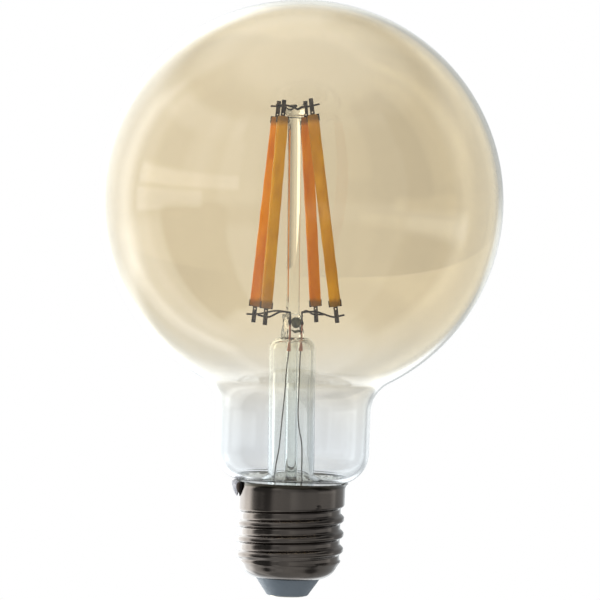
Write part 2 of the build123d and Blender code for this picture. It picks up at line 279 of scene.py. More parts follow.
@dataclass(frozen=True)
class TintedGlass(Glass):
    """Gold-tinted globe glass that clears towards the neck."""

    name: str = "tinted_globe_glass"
    tint: Colour = (0.862, 0.786, 0.635)
    clear: Colour = (0.865, 0.882, 0.892)
    fade: Pair = (38 * MM, 78 * MM)
    streak_scale: float = 30.0
    streak_height: float = 12 * MM

    def shade(self, graph: Graph) -> Socket:
        """Build glass whose tint fades in over the height, along a streaky line.

        Args:
            graph: The material's nodes.

        Returns:
            The shader.
        """
        streaks = graph.noise(self.streak_scale, 2.0) * self.streak_height
        amount = graph.step(graph.height + streaks, *self.fade)
        return self.transmitting(graph, graph.blend(amount, self.clear, self.tint), Specular_IOR_Level=1.0)


@dataclass(frozen=True)
class ClearGlass(Glass):
    """Clear glass of the mount, with faint upright streaks."""

    name: str = "mount_glass"
    colour: Colour = (0.972, 0.985, 0.975)
    streaks: Point = (900.0, 900.0, 40.0)

    def shade(self, graph: Graph) -> Socket:
        """Clear glass that the streaks bend a little."""
        streaks = graph.noise(1.0, 2.0, self.streaks)
        return self.transmitting(graph, self.colour, Normal=graph.bump(streaks, 0.03, 0.2 * MM))


@dataclass(frozen=True)
class StripCoat(Finish):
    """Silicone coat of a light strip, darker brown towards both ends."""

    name: str
    body: Colour
    deep: Colour
    low: float
    high: float
    end_brown: Colour = (0.17, 0.10, 0.03)
    end_brown_share: float = 0.8
    end_brown_span: Pair = (0.7 * MM, 2.4 * MM)
    light_depths: Point = (0.8 * MM, 0.35 * MM, 0.1 * MM)

    def shade(self, graph: Graph) -> Socket:
        """Build a waxy coat with cloudy patches along the strip.

        Args:
            graph: The material's nodes.

        Returns:
            The shader.
        """
        patches = graph.noise(260.0, stretch=(1.0, 1.0, 0.35))
        colour = graph.blend(graph.step(patches, 0.38, 0.66), self.deep, self.body)
        height = graph.ragged_height(graph.noise(900.0, 2.0), 0.9 * MM)
        near, far = self.end_brown_span
        foot = graph.step(height, self.low + near, self.low + far, self.end_brown_share, 0.0)
        top = graph.step(height, self.high - far, self.high - near, 0.0, self.end_brown_share)
        return graph.surface(
            Base_Color=graph.blend(foot + top, colour, self.end_brown), Roughness=0.5, Specular_IOR_Level=0.1,
            Subsurface_Weight=0.15, Subsurface_Radius=self.light_depths,
            Normal=graph.bump(graph.noise(5200.0, 2.0), 0.15, 0.04 * MM),
        )


@dataclass(frozen=True)
class Metal(Finish):
    """Metal with cloudy colour, uneven gloss and a fine grain."""

    name: str
    body: Colour
    worn: Colour
    rough: Pair
    patch_scale: float
    grain_scale: float = 6000.0
    grain_depth: float = 0.02 * MM

    def colour(self, graph: Graph, patches: Socket) -> Socket:
        """Colour that goes from the body's to the worn one over patches."""
        return graph.blend(graph.step(patches, 0.35, 0.7), self.body, self.worn)

    def shade(self, graph: Graph) -> Socket:
        """Build the metallic surface.

        Args:
            graph: The material's nodes.

        Returns:
            The shader.
        """
        patches = graph.noise(self.patch_scale, 4.0)
        return graph.surface(
            Base_Color=self.colour(graph, patches),
            Metallic=1.0,
            Roughness=graph.step(patches, 0.3, 0.75, *self.rough),
            Normal=graph.bump(graph.noise(self.grain_scale), 0.2, self.grain_depth),
        )


@dataclass(frozen=True)
class CapFinish(Metal):
    """Cap metal that is darker at the rim."""

    rim_dark: Colour = (0.040, 0.034, 0.025)
    rim_dark_span: Pair = (25.9 * MM, 26.25 * MM)

    def colour(self, graph: Graph, patches: Socket) -> Socket:
        """Cloudy colour that darkens above a ragged line."""
        amount = graph.step(graph.ragged_height(graph.noise(500.0, 2.0), 0.4 * MM), *self.rim_dark_span)
        return graph.blend(amount, super().colour(graph, patches), self.rim_dark)


@dataclass(frozen=True)
class Solder(Finish):
    """Silvery solder with a painted shadow in black along its front edge and a faint painted glow."""

    name: str = "silvery_solder"
    bright: Colour = (0.26, 0.26, 0.28)
    dull: Colour = (0.17, 0.17, 0.19)
    painted_shadow: Colour = (0.03, 0.022, 0.018)
    middle: float = 26.35 * MM
    painted_shadow_span: Pair = (0.46, 0.485)
    painted_shadow_slope: float = 0.04 / MM

    def shade(self, graph: Graph) -> Socket:
        """Build a lumpy surface that turns black past a bearing about the lamp's axis, as a painted shadow.

        Args:
            graph: The material's nodes.

        Returns:
            The shader.
        """
        clouds = graph.noise(700.0)
        silver = graph.blend(graph.step(clouds, 0.35, 0.65), self.bright, self.dull)
        # Painted shadow: past this bearing the drop's front part turns black, standing in for the shadow
        # beside the drop.
        tangent = graph.axis(graph.place, "Y") / graph.axis(graph.place, "X") + clouds * 0.10 - 0.05
        tangent = tangent - (graph.height - self.middle) * self.painted_shadow_slope
        colour = graph.blend(graph.step(tangent, *self.painted_shadow_span), silver, self.painted_shadow)
        # The emission is painted light: it keeps the solder bright whatever lamps fall on it.
        return graph.surface(
            Base_Color=colour, Roughness=0.5, Specular_IOR_Level=0.15,
            Emission_Color=colour, Emission_Strength=0.3, Normal=graph.bump(clouds, 0.3, 0.15 * MM),
        )


@dataclass(frozen=True)
class LeadFinish(Finish):
    """Copper-clad lead, blackened where it leaves the pinch."""

    name: str = "copper_clad_lead"
    copper: Colour = (0.50, 0.20, 0.13)
    black: Colour = (0.035, 0.022, 0.018)
    black_span: Pair = (63.9 * MM, 64.9 * MM)
    ragged: float = 1.2 * MM

    def shade(self, graph: Graph) -> Socket:
        """Build metal whose colour changes with the height.

        Args:
            graph: The material's nodes.

        Returns:
            The shader.
        """
        knots = graph.noise(1500.0)
        amount = graph.step(graph.height + knots * self.ragged, *self.black_span)
        return graph.surface(
            Base_Color=graph.blend(amount, self.copper, self.black), Metallic=1.0,
            Roughness=graph.step(knots, 0.3, 0.7, 0.3, 0.5), Normal=graph.bump(knots, 0.3, 0.1 * MM),
        )


@dataclass(frozen=True)
class VentShade(Finish):
    """Painted shade: a dark green glossy piece set in the pinch's opening, where the hollow looks dark."""

    name: str = "vent_painted_shade"
    rim: Colour = (0.12, 0.125, 0.085)
    core: Colour = (0.03, 0.036, 0.026)

    def shade(self, graph: Graph) -> Socket:
        """Shiny dark surface of painted shade, cloudy and darker in places."""
        clouds = graph.noise(700.0)
        return graph.surface(
            Base_Color=graph.blend(graph.step(clouds, 0.35, 0.65), self.core, self.rim),
            Roughness=0.12, Coat_Weight=0.5, Alpha=graph.step(clouds, 0.3, 0.8, 1.0, 0.8),
        )


@dataclass(frozen=True)
class PinchLightLump(Finish):
    """Painted light in the pinch: a white lump that glows, with dark specks."""

    name: str = "pinch_painted_light"
    white: Colour = (0.95, 0.93, 0.86)
    speck: Colour = (0.12, 0.11, 0.07)

    def shade(self, graph: Graph) -> Socket:
        """Build a bright, glowing, partly clear surface: painted light.

        Args:
            graph: The material's nodes.

        Returns:
            The shader.
        """
        specks = graph.noise(1500.0, 2.0, (1.0, 1.0, 0.6))
        colour = graph.blend(graph.step(specks, 0.60, 0.68), self.white, self.speck)
        # The white colour and the emission are painted light caught in the pinch glass.
        return graph.surface(
            Base_Color=colour, Roughness=0.2, Coat_Weight=0.3, Emission_Color=colour, Emission_Strength=0.35,
            Alpha=graph.step(graph.noise(900.0, 2.0), 0.35, 0.6, 0.25, 0.95),
        )


@dataclass(frozen=True)
class Cement(Finish):
    """Pale cement with flecks and a ragged dark edge below the rim."""

    name: str = "pale_cement"
    pale: Colour = (0.93, 0.92, 0.90)
    fleck: Colour = (0.16, 0.155, 0.14)
    edge_span: Pair = (26.3 * MM, 26.5 * MM)

    def shade(self, graph: Graph) -> Socket:
        """Build the matt surface.

        Args:
            graph: The material's nodes.

        Returns:
            The shader.
        """
        ragged = graph.noise(420.0, stretch=(1.0, 1.0, 2.5))
        edge = graph.step(graph.ragged_height(ragged, 3.0 * MM), *self.edge_span)
        flecks = graph.step(graph.noise(900.0, stretch=(1.0, 1.0, 1.8)), 0.60, 0.65)
        colour = graph.blend(graph.math("MAXIMUM", edge, flecks), self.pale, self.fleck)
        # The emission is painted light: it keeps the cement pale whatever lamps fall on it.
        return graph.surface(
            Base_Color=colour, Roughness=0.85, Emission_Color=colour, Emission_Strength=0.35,
            Normal=graph.bump(ragged, 0.5, 0.3 * MM),
        )


@dataclass(frozen=True)
class Moulded(Finish):
    """Moulded or fired surface with a fine grain and faint clouding."""

    name: str
    body: Colour
    clouded: Colour
    rough: float
    grain_scale: float
    coat: float = 0.0
    grain_depth: float = 0.02 * MM
    cloud_share: float = 0.15

    def shade(self, graph: Graph) -> Socket:
        """Build the dielectric surface.

        Args:
            graph: The material's nodes.

        Returns:
            The shader.
        """
        clouds = graph.noise(self.grain_scale * self.cloud_share)
        grain = graph.noise(self.grain_scale)
        return graph.surface(
            Base_Color=graph.blend(graph.step(clouds, 0.3, 0.7), self.body, self.clouded),
            Roughness=graph.step(grain, 0.2, 0.8, self.rough * 0.9, min(1.0, self.rough * 1.15)),
            Coat_Weight=self.coat, Coat_Roughness=0.2,
            Normal=graph.bump(grain, 0.25, self.grain_depth),
        )


GLOBE_GLASS = TintedGlass()
MOUNT_GLASS = ClearGlass()
VENT_SHADE = VentShade()
PINCH_LIGHT_LUMP = PinchLightLump()
ORANGE = ((0.86, 0.33, 0.0), (0.72, 0.22, 0.0))
# Painted light: this paler tan copy of the orange coat, for the two front strips, paints the light and
# reflection on their fronts.
LIT_TAN = ((0.70, 0.39, 0.03), (0.54, 0.27, 0.018))
BACK_LEFT_COAT = StripCoat("back_left_coat", *ORANGE, 67.8 * MM, 112.6 * MM)
FRONT_LEFT_LIT_COAT = StripCoat("front_left_lit_coat", *LIT_TAN, 67.9 * MM, 112.6 * MM)
BACK_RIGHT_COAT = StripCoat("back_right_coat", *ORANGE, 68.2 * MM, 112.9 * MM)
FRONT_RIGHT_LIT_COAT = StripCoat("front_right_lit_coat", *LIT_TAN, 68.7 * MM, 113.4 * MM)
CAP_METAL = CapFinish(
    "dark_nickel_cap", (0.092, 0.079, 0.070), (0.120, 0.102, 0.088), (0.10, 0.20), 90.0, 2600.0
)
TAB_STEEL = Metal("dark_tab_steel", (0.022, 0.014, 0.011), (0.12, 0.09, 0.07), (0.3, 0.55), 500.0)
WIRE_METAL = Metal("dark_drawn_wire", (0.018, 0.010, 0.008), (0.07, 0.042, 0.032), (0.4, 0.6), 900.0)
LEAD_METAL = Metal("thin_outer_lead", (0.10, 0.09, 0.08), (0.20, 0.17, 0.14), (0.35, 0.55), 700.0)
COPPER = LeadFinish()
SOLDER = Solder()
CONTACT_METAL = Metal("plated_contact", (0.60, 0.53, 0.38), (0.75, 0.69, 0.55), (0.2, 0.4), 250.0, 3000.0)
INSULATOR = Moulded("slate_insulator", (0.066, 0.085, 0.104), (0.083, 0.104, 0.125), 0.55, 900.0)
CEMENT = Cement()
BOARD = Moulded("green_board", (0.03, 0.16, 0.06), (0.02, 0.11, 0.045), 0.4, 1500.0, 0.4)
PACKAGE = Moulded("black_package", (0.02, 0.02, 0.021), (0.035, 0.035, 0.036), 0.5, 4000.0)
SLEEVE = Moulded("capacitor_sleeve", (0.02, 0.022, 0.05), (0.03, 0.032, 0.07), 0.3, 1500.0, 0.3)
FERRITE = Moulded("grey_ferrite", (0.06, 0.057, 0.055), (0.09, 0.085, 0.08), 0.6, 3000.0, 0.0, 0.04 * MM)
RESISTOR = Moulded("resistor_lacquer", (0.20, 0.32, 0.24), (0.16, 0.27, 0.20), 0.35, 2500.0, 0.3)
INSULATION = Moulded("wire_insulation", (0.62, 0.60, 0.55), (0.52, 0.50, 0.46), 0.45, 2500.0)
CARRIER = Moulded("white_carrier", (0.80, 0.78, 0.72), (0.72, 0.70, 0.64), 0.4, 2500.0)


# Modelling helpers

SEAM = 0.0005 * MM
KNOT_SWELL = 2.3


def clear_selection() -> None:
    """Leave edit mode and deselect everything."""
    if bpy.context.object and bpy.context.object.mode != "OBJECT":
        bpy.ops.object.mode_set(mode="OBJECT")
    bpy.ops.object.select_all(action="DESELECT")


def activate(piece: Piece) -> None:
    """Select one piece alone and make it active.

    Args:
        piece: The piece.
    """
    clear_selection()
    piece.select_set(True)
    bpy.context.view_layer.objects.active = piece


def linked(name: str, data: bpy.types.ID) -> Piece:
    """New object of the scene, made of its data."""
    bpy.context.scene.collection.objects.link(item := bpy.data.objects.new(name, data))
    return item


def arc(centre: Pair, radius: float, start: float, end: float, steps: int) -> Profile:
    """Points of an arc in a profile, angles in degrees."""
    angles = [math.radians(start + (end - start) * i / steps) for i in range(steps + 1)]
    return [(centre[0] + radius * math.cos(a), centre[1] + radius * math.sin(a)) for a in angles]


def around(radius: float, bearing: float, height: float) -> Vector:
    """Point at a radius, a bearing in degrees and a height."""
    turn = math.radians(bearing)
    return Vector((radius * math.cos(turn), radius * math.sin(turn), height))


def weld() -> None:
    """Merge the doubles of the piece in edit mode, turn its faces outwards and leave edit mode."""
    bpy.ops.mesh.select_all(action="SELECT")
    bpy.ops.mesh.remove_doubles(threshold=SEAM)
    bpy.ops.mesh.normals_make_consistent(inside=False)
    bpy.ops.object.mode_set(mode="OBJECT")


def lathe(name: str, profile: Profile, steps: int, closed: bool = True) -> Piece:
    """Turn a profile about Z by the spin operator.

    Args:
        name: The piece's name.
        profile: Radius and height of each point, in millimetres.
        steps: Segments round the axis.
        closed: Whether the last point joins the first.

    Returns:
        The turned piece, with merged seams and outward normals.
    """
    points = [(r * MM, 0.0, z * MM) for r, z in profile]
    edges = [(i, i + 1) for i in range(len(points) - 1)]
    if closed:
        edges.append((len(points) - 1, 0))
    mesh = bpy.data.meshes.new(name)
    mesh.from_pydata(points, edges, [])
    piece = linked(name, mesh)
    activate(piece)
    bpy.ops.object.mode_set(mode="EDIT")
    bpy.ops.mesh.select_all(action="SELECT")
    bpy.ops.mesh.spin(steps=steps, angle=2 * math.pi, center=(0, 0, 0), axis=(0, 0, 1))
    weld()
    return piece


def places(piece: Piece) -> Iterator[tuple[bpy.types.MeshVertex, float, float, float]]:
    """Each vertex of a piece with its place in millimetres."""
    for vertex in piece.data.vertices:
        yield vertex, *(c / MM for c in vertex.co)


def ball(name: str, segments: int, rings: int, radius: float = 1.0) -> Piece:
    """Add a sphere at the origin.

    Args:
        name: The piece's name.
        segments: Segments round its axis.
        rings: Rings from pole to pole.
        radius: Its radius in millimetres.

    Returns:
        The sphere.
    """
    clear_selection()
    bpy.ops.mesh.primitive_uv_sphere_add(segments=segments, ring_count=rings, radius=radius * MM)
    piece = bpy.context.object
    piece.name = name
    return piece


def block(name: str, size: Pair, low: float, high: float) -> Piece:
    """Add an upright block on the axis.

    Args:
        name: The piece's name.
        size: Its width and depth in millimetres.
        low: Height of its foot in millimetres.
        high: Height of its top in millimetres.

    Returns:
        The block.
    """
    clear_selection()
    bpy.ops.mesh.primitive_cube_add(size=1.0, location=(0, 0, (low + high) / 2 * MM))
    piece = bpy.context.object
    piece.name = name
    piece.scale = (size[0] * MM, size[1] * MM, (high - low) * MM)
    bpy.ops.object.transform_apply(location=True, scale=True)
    return piece


def add_modifier(piece: Piece, kind: str, **settings: float | str | Piece) -> None:
    """Add a modifier and apply it.

    Args:
        piece: The piece that it changes.
        kind: The modifier's type.
        settings: Its settings.
    """
    activate(piece)
    modifier = piece.modifiers.new(kind.title(), kind)
    for name, value in settings.items():
        setattr(modifier, name, value)
    bpy.ops.object.modifier_apply(modifier=modifier.name)


def wire_along(name: str, route: list[Point], diameter: float, knots: tuple[int, ...] = ()) -> Piece:
    """Make round wire along a NURBS line.

    Args:
        name: The piece's name.
        route: Control points in millimetres.
        diameter: The wire's diameter in millimetres.
        knots: Numbers of the control points where the wire is thicker.

    Returns:
        The wire as a mesh.
    """
    curve = bpy.data.curves.new(name, "CURVE")
    curve.dimensions = "3D"
    curve.bevel_depth = diameter / 2 * MM
    curve.bevel_resolution = 3
    curve.use_fill_caps = True
    spline = curve.splines.new("NURBS")
    spline.points.add(len(route) - 1)
    for point, place in zip(spline.points, route):
        point.co = (*(c * MM for c in place), 1.0)
    for number in knots:
        spline.points[number].radius = KNOT_SWELL
    spline.use_endpoint_u = True
    spline.order_u = 3
    spline.resolution_u = 8
    activate(linked(name, curve))
    bpy.ops.object.convert(target="MESH")
    bpy.ops.object.mode_set(mode="EDIT")
    weld()
    return bpy.context.object


@dataclass
class Lean:
    """The mount's lean about the seal, as the frame has it."""

    angle: float = 1.45
    pivot: float = 22.5

    def matrix(self) -> Matrix:
        """Work out the lean.

        Returns:
            Its matrix in metres.
        """
        up = Matrix.Translation((0, 0, self.pivot * MM))
        down = Matrix.Translation((0, 0, -self.pivot * MM))
        return up @ Matrix.Rotation(math.radians(-self.angle), 4, "Y") @ down

    def apply(self, piece: Piece) -> None:
        """Lean a piece's mesh."""
        piece.data.transform(self.matrix())


LEAN = Lean()


def finish_piece(piece: Piece, finish: Finish, slot: str, *nodes: str, angle: float = 50.0) -> None:
    """Smooth and dress a piece, ride it on the body and hide the nodes that it replaces.

    Args:
        piece: The new piece.
        finish: Its finish.
        slot: The record's material slot; not used.
        nodes: The nodes that it replaces.
        angle: Angle between faces, in degrees, up to which it is shaded smooth.
    """
    activate(piece)
    bpy.ops.object.shade_smooth_by_angle(angle=math.radians(angle))
    piece.data.materials.clear()
    piece.data.materials.append(finish.material())
    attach(piece, "root")
    if nodes:
        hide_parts(*nodes)
    log.info("%s: %d faces", piece.name, len(piece.data.polygons))


def dress_node(node: str, finish: Finish) -> None:
    """Give a node of the frame its finish.

    Args:
        node: The node's name.
        finish: The finish.
    """
    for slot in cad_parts[node].material_slots:
        slot.material = finish.material()
    log.info("%s: dressed as %s", node, finish.name)


# Sub-assemblies

@dataclass
class Globe:
    """Blown globe with neck, shoulder and tail."""

    radius: float = 47.5
    centre: float = 92.9
    neck: float = 18.1
    neck_drops: Pair = (3.5, 7.0)
    blend: float = 8.0
    shoulder: float = 7.366
    shoulder_angle: float = 72.0
    shoulder_z: float = 34.156
    tail: float = 11.4
    tail_end: float = 21.6
    wall: float = 1.0
    steps: int = 192

    def outline(self, inset: float) -> Profile:
        """Draw the profile from the top of the globe down to the tail's end.

        Args:
            inset: How far the profile lies inside the outer one.

        Returns:
            Its points.
        """
        blend_x = self.neck + self.blend
        blend_z = self.centre - math.sqrt((self.radius + self.blend) ** 2 - blend_x ** 2)
        angle = math.degrees(math.atan2(blend_z - self.centre, blend_x))
        line = arc((0, self.centre), self.radius - inset, 90, angle, 84)
        line += arc((blend_x, blend_z), self.blend + inset, angle + 180, 180, 16)[1:]
        line += [(self.neck - inset, blend_z - drop) for drop in self.neck_drops]
        centre = (self.neck - self.shoulder, self.shoulder_z)
        line += arc(centre, self.shoulder - inset, 0, -self.shoulder_angle, 18)
        drop = line[-1][0] - (self.tail - inset)
        line += [(self.tail - inset, line[-1][1] - drop), (self.tail - inset, self.tail_end)]
        return line

    def build(self) -> None:
        """Turn the wall's profile and dress it."""
        profile = self.outline(0.0) + self.outline(self.wall)[::-1]
        piece = lathe("globe_shell", profile, self.steps, closed=False)
        finish_piece(piece, GLOBE_GLASS, "tinted_glass", "glass_globe")


@dataclass
class Thread:
    """Rolled thread of the cap, as a radius over angle and height."""

    crest: float = 12.8
    depth: float = 0.85
    pitch: float = 3.629
    mouth: float = 3.2
    floor: float = 0.9
    end_z: float = 21.2176
    end_angle: float = 76.0
    fade: float = 0.14

    def groove(self, angle: float, height: float) -> float:
        """Work out the depth of the groove.

        Args:
            angle: Angle round the axis in degrees.
            height: Height in millimetres.

        Returns:
            The depth in millimetres.
        """
        turn = ((angle - self.end_angle) / 360.0) % 1.0 - 1.0
        top = self.end_z + self.pitch * turn
        offset = height - top
        depth = self.depth
        if offset < -self.pitch / 2:
            offset = (offset + self.pitch / 2) % self.pitch - self.pitch / 2
        elif turn > -self.fade:
            depth *= min(1.0, -turn / self.fade) ** 0.5
        reach = abs(offset)
        if reach <= self.floor / 2:
            return depth
        if reach >= self.mouth / 2:
            return 0.0
        share = (reach - self.floor / 2) / (self.mouth / 2 - self.floor / 2)
        return depth * (0.5 + 0.5 * math.cos(math.pi * share))


@dataclass
class Cap:
    """Screw shell, insulator, cement, contact and solder."""

    rim_z: float = 27.0
    rim_flare: float = 0.7
    lip: float = 1.0
    wall: float = 0.35
    edge: Pair = (7.8, 4.3)
    bowl_mid: Pair = (10.4, 4.9)
    bowl_top: Pair = (11.4, 7.2)
    entry_top: float = 9.3
    thread_row: float = 0.145
    thread_rows: int = 100
    thread_top: float = 25.4
    dimple: Pair = (31.5, 21.8)
    dimple_radius: float = 0.7
    dimple_depth: float = 0.25
    drop_bearing: float = 197.5
    drop_radius: float = 13.65
    drop_z: float = 26.35
    drop_half_width: float = 2.3
    drop_stand: float = 0.72
    drop_girth: float = 13.4
    steps: int = 240
    thread: Thread = field(default_factory=Thread)

    def outline(self) -> Profile:
        """Draw the profile of the shell, from the bowl's edge over the rim and down inside.

        Returns:
            Its points.
        """
        line: Profile = [(self.edge[0] - 0.1, self.edge[1] + self.wall), self.edge]
        for t in (i / 8 for i in range(1, 9)):
            corners = zip(self.edge, self.bowl_mid, self.bowl_top)
            line.append(tuple((1 - t) ** 2 * a + 2 * t * (1 - t) * b + t * t * c for a, b, c in corners))
        crest, lip_z = self.thread.crest, self.rim_z - self.lip
        bowl, entry = Vector(self.bowl_top), Vector((crest, self.entry_top))
        line += [tuple(bowl.lerp(entry, i / 10)) for i in range(1, 11)]
        line += [(crest, self.entry_top + self.thread_row * i) for i in range(1, self.thread_rows + 1)]
        line += [(crest, lip_z - 1.0), (crest, lip_z - 0.2), (crest + 0.04, lip_z)]
        line += [(crest + 0.18, lip_z + 0.35), (crest + 0.42, lip_z + 0.68)]
        line += [(crest + self.rim_flare - 0.02, lip_z + 0.94), (crest + self.rim_flare - 0.1, self.rim_z)]
        line += [(crest + self.rim_flare - 0.3, self.rim_z), (crest - self.wall + 0.2, lip_z + 0.4)]
        line += [(crest - self.wall, lip_z - 0.3), (crest - self.wall, lip_z - 2.2)]
        return line

    def build_shell(self) -> None:
        """Turn the shell, roll the thread into it and press the dimple."""
        piece = lathe("rolled_cap_shell", self.outline(), self.steps, closed=False)
        crest, bearing = self.thread.crest, math.radians(self.dimple[0])
        dimple = (math.sin(bearing) * crest, -math.cos(bearing) * crest, self.dimple[1])
        for vertex, x, y, z in places(piece):
            radius, share = math.hypot(x, y), 1.0
            if self.bowl_top[1] <= z <= self.thread_top and radius >= self.bowl_top[0] - 0.05:
                floor = crest - self.thread.groove(math.degrees(math.atan2(y, x)), z)
                share = min(1.0, floor / radius)
            distance = math.dist((x * share, y * share, z), dimple)
            if distance < self.dimple_radius:
                push = self.dimple_depth * (0.5 + 0.5 * math.cos(math.pi * distance / self.dimple_radius))
                share *= 1 - push / crest
            vertex.co.xy *= share
        finish_piece(piece, CAP_METAL, "cap_metal", "screw_shell", angle=60.0)

    def build_insulator(self) -> None:
        """Turn the insulator with its rounded tip and the recess for the contact."""
        profile: Profile = [(0, 0.72), (4.12, 0.72), (4.12, 0.2), (4.25, 0.15)]
        profile += arc((4.5, 0.72), 0.58, -95, -20, 8)
        profile += [(5.9, 1.75), (6.9, 3.2), (7.5, 4.15), (7.55, 4.26), (7.6, 4.30)]
        profile += [(7.6, 4.7), (9.8, 7.2), (0, 7.25)]
        piece = lathe("insulator_cone", profile, 128, closed=False)
        finish_piece(piece, INSULATOR, "insulator", "base_insulator", angle=40.0)

    def build_cement(self) -> None:
        """Turn the cement between cap and glass, up into the wedge below the rim."""
        profile: Profile = [(11.45, 23.3), (12.4, 23.3), (12.4, 25.6), (12.5, 26.1), (12.66, 26.55)]
        profile += [(12.45, 26.5), (12.0, 26.0), (11.6, 25.6), (11.45, 25.3)]
        piece = lathe("cement_fill", profile, 160)
        finish_piece(piece, CEMENT, "cement", "cement_ring", angle=60.0)

    def build_solder(self) -> None:
        """Shape the solder drop from a ball: wide at the rim, drawn to a point on the skirt."""
        piece = ball("rim_solder", 32, 20)
        for vertex, x, y, z in places(piece):
            low = max(0.0, -z)
            width = self.drop_half_width * (1 - 0.6 * low ** 1.6)
            stand = self.drop_stand * (1 - 0.4 * low)
            ripple = 0.07 * math.sin(7 * z + 3 * y) + 0.04 * math.sin(13 * y)
            radial = self.drop_radius + stand * x - 0.45 * low + ripple
            bearing = self.drop_bearing + math.degrees(y * width / self.drop_girth)
            vertex.co = around(radial, bearing, self.drop_z + (z * 0.95 if z > 0 else z * 3.0)) * MM
        finish_piece(piece, SOLDER, "solder", "side_solder", angle=70.0)

    def build(self) -> None:
        """Build the cap's visible pieces."""
        self.build_shell()
        self.build_insulator()
        self.build_cement()
        self.build_solder()
        dress_node("centre_contact", CONTACT_METAL)
        dress_node("contact_pin", SOLDER)


@dataclass
class Mount:
    """Flare with its pinch, exhaust tube, rod and head, all of glass."""

    flare: float = 5.48
    wall: float = 1.0
    flare_top: float = 61.1
    flare_round: float = 3.1
    seal_rim: float = 10.35
    spread_z: float = 28.0
    seal_low: float = 22.1
    seal_high: float = 22.9
    pinch: float = 4.2
    pinch_top: float = 66.5
    pinch_root: float = 0.5
    turn: float = 30.0
    vent: float = 1.35
    vent_z: float = 64.5
    rod: float = 1.565
    rod_top: float = 113.1
    head: float = 2.475
    head_height: float = 2.8
    exhaust: float = 1.575
    exhaust_bore: float = 0.95
    exhaust_end: float = 18.0
    exhaust_gap: float = 0.02

    def flare_profile(self) -> Profile:
        """Draw the wall of the flare tube, from the seal up to the crown and down inside.

        Returns:
            Its points.
        """
        outer, inner = self.flare, self.flare - self.wall
        centre = (outer - self.flare_round, self.flare_top - self.flare_round)
        line: Profile = [(self.seal_rim, self.seal_low), (self.seal_rim, self.seal_high)]
        line += [(outer + 0.4, self.spread_z - 0.5), (outer, self.spread_z)]
        line += arc(centre, self.flare_round, 0, 80, 14) + [(0.0, self.flare_top)]
        line += [(0.0, self.flare_top - self.wall)] + arc(centre, self.flare_round - self.wall, 80, 0, 12)
        line += [(inner, self.spread_z - 0.5), (inner + 0.4, self.spread_z - 1.0)]
        line += [(self.seal_rim - self.wall, self.seal_low)]
        return line

    def build_flare(self) -> None:
        """Turn the flare, stand the pinched block on it and open the vent in the block's face."""
        tube = lathe("flare_and_pinch", self.flare_profile(), 96)
        pinch = block("pinch", (self.pinch, self.pinch), self.flare_top - self.pinch_root, self.pinch_top)
        bpy.ops.object.mode_set(mode="EDIT")
        bpy.ops.mesh.subdivide(number_cuts=5)
        bpy.ops.object.mode_set(mode="OBJECT")
        for vertex, _, _, z in places(pinch):
            level = (z - self.flare_top) / (self.pinch_top - self.flare_top)
            swell = 1.0 + 0.10 * math.sin(math.pi * level * 2.1 + 0.6) + 0.14 * max(0.0, 0.25 - level)
            vertex.co.x *= swell
            vertex.co.y *= 0.9 + 0.08 * math.cos(math.pi * level * 1.7)
        add_modifier(pinch, "BEVEL", width=0.7 * MM, segments=3, limit_method="ANGLE")
        add_modifier(pinch, "SUBSURF", levels=1, render_levels=1)
        pinch.data.transform(Matrix.Rotation(math.radians(self.turn), 4, "Z"))
        vent = ball("vent", 28, 16, self.vent)
        face = around(self.pinch / 2, self.turn - 90, self.vent_z)
        vent.data.transform(Matrix.Translation(face * MM))
        add_modifier(pinch, "BOOLEAN", operation="DIFFERENCE", object=vent, solver="EXACT")
        add_modifier(tube, "BOOLEAN", operation="UNION", object=pinch, solver="EXACT")
        bpy.data.objects.remove(vent)
        bpy.data.objects.remove(pinch)
        LEAN.apply(tube)
        finish_piece(tube, MOUNT_GLASS, "clear_glass", "flare_tube")

    def set_in_pinch(self, piece: Piece, finish: Finish, place: Point) -> None:
        """Turn and lean a piece with the pinch and dress it.

        Args:
            piece: The piece.
            finish: Its finish.
            place: Its place in the pinch's own frame, in millimetres.
        """
        turn = Matrix.Rotation(math.radians(self.turn), 4, "Z")
        piece.data.transform(LEAN.matrix() @ turn @ Matrix.Translation([c * MM for c in place]))
        finish_piece(piece, finish, "clear_glass", angle=70.0)

    def build_vent_shade(self) -> None:
        """Flatten a ball into the dark piece that fills the vent: painted shade."""
        vent_shade_piece = ball("pinch_vent_painted_shade", 32, 18)
        for vertex, x, _, z in places(vent_shade_piece):
            ripple = 1 + 0.07 * math.sin(3 * math.atan2(z, x) + 0.8)
            vertex.co *= Vector((1.42 * ripple, 0.25, 1.3 * ripple))
        self.set_in_pinch(vent_shade_piece, VENT_SHADE, (0.1, -1.5, self.vent_z))

    def build_crescent(self) -> None:
        """Bend a flattened ball into the dark crescent under the vent: painted shade."""
        crescent = ball("pinch_crescent_painted_shade", 32, 14)
        for vertex, x, y, z in places(crescent):
            bend = 0.3 * x * x + 0.08 * math.sin(5 * x)
            vertex.co = Vector((1.35 * x, 0.2 * y, 0.34 * z + bend)) * MM
        self.set_in_pinch(crescent, VENT_SHADE, (0.1, -1.5, 62.35))

    def build_light_lump(self) -> None:
        """Swell a ball into the white glowing lump at the pinch's left: painted light."""
        lump = ball("pinch_painted_light_lump", 32, 24)
        for vertex, x, y, z in places(lump):
            swell = 1 + 0.16 * math.sin(7 * z + 1.0) * math.cos(2 * math.atan2(y, x))
            vertex.co *= Vector((0.62 * swell, 0.9 * swell, 1.9))
        self.set_in_pinch(lump, PINCH_LIGHT_LUMP, (-1.3, 0.1, 63.9))

